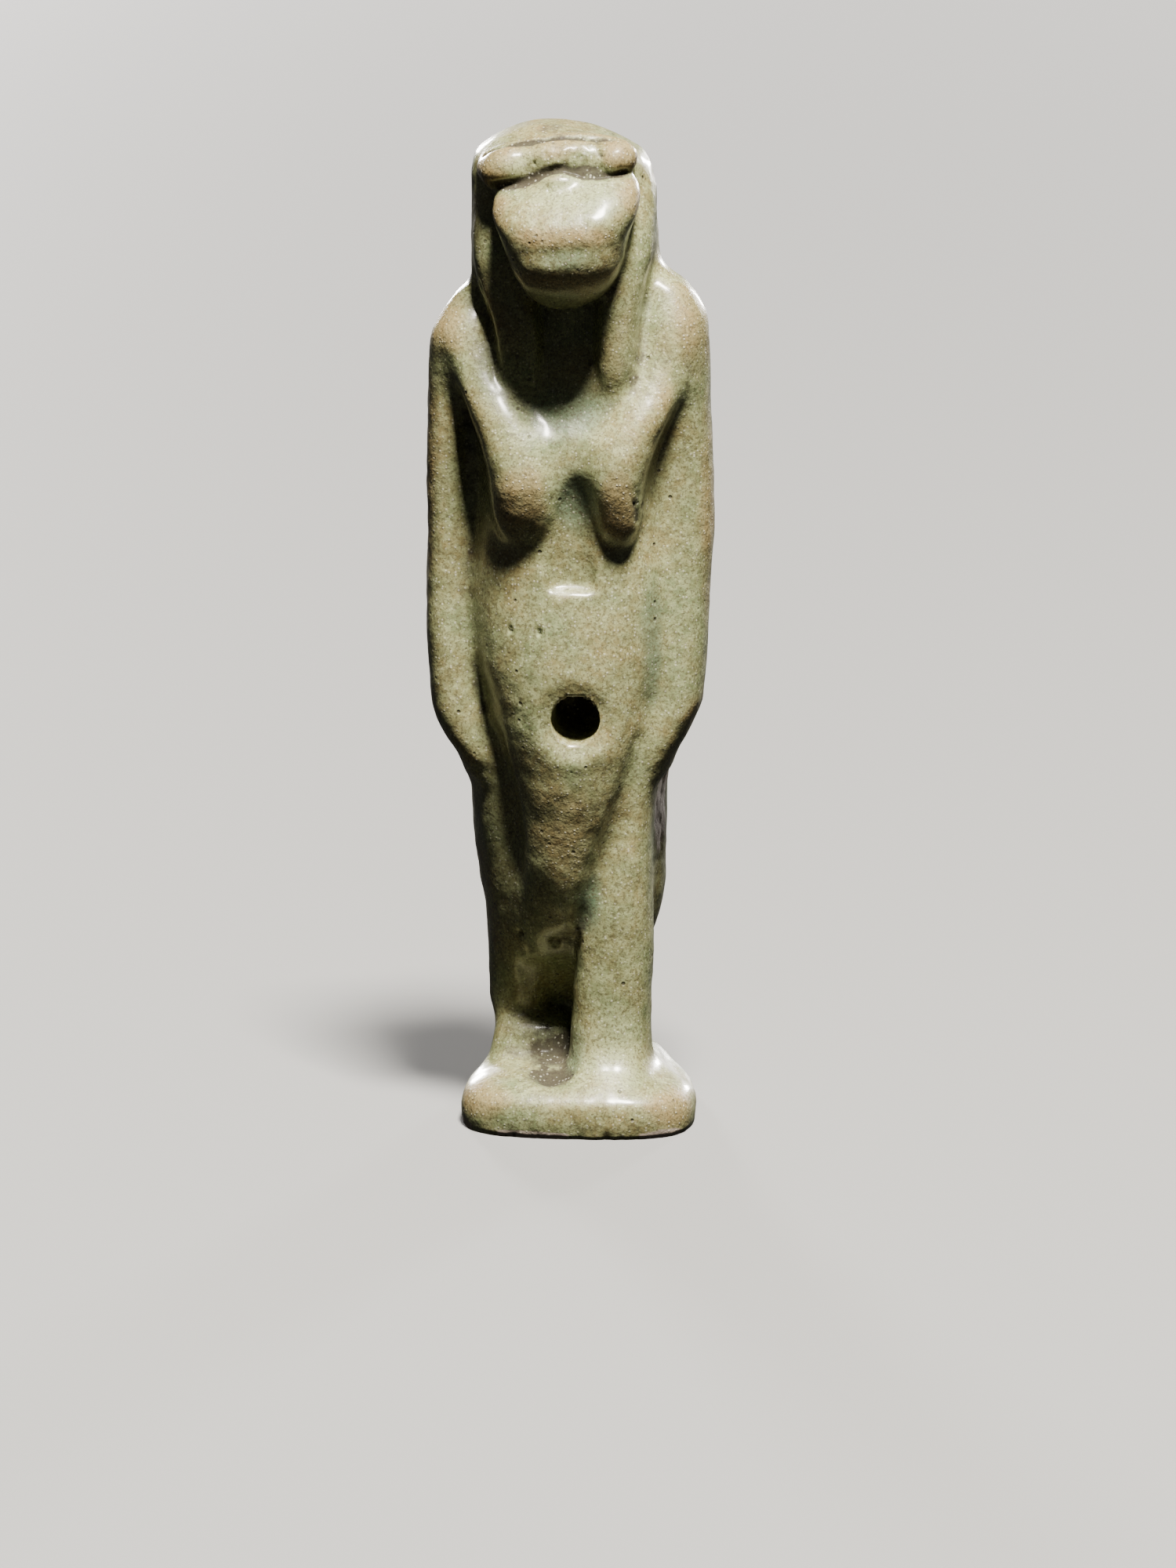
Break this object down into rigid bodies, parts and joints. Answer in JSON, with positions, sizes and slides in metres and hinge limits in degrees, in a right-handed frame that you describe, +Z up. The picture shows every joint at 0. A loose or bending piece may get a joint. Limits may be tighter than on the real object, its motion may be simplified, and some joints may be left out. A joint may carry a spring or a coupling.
{
  "type": "taweret figure",
  "caption": "Small moulded glazed figure of a standing hippopotamus goddess with one leg forward, arms at the sides, a drilled navel, a back pillar and a low base cast in one with it",
  "frame": {"origin": "on the flat underside of the base, below the middle of the back pillar and the head", "axes": "+Z up along the figure, -Y out of its face, +X to the right of someone who faces it"},
  "size_m": [0.0144, 0.0126, 0.05],
  "materials": {
    "faience": "satin"
  },
  "bodies": {
    "root": {"taweret_figure": "faience"}
  },
  "joints": []
}
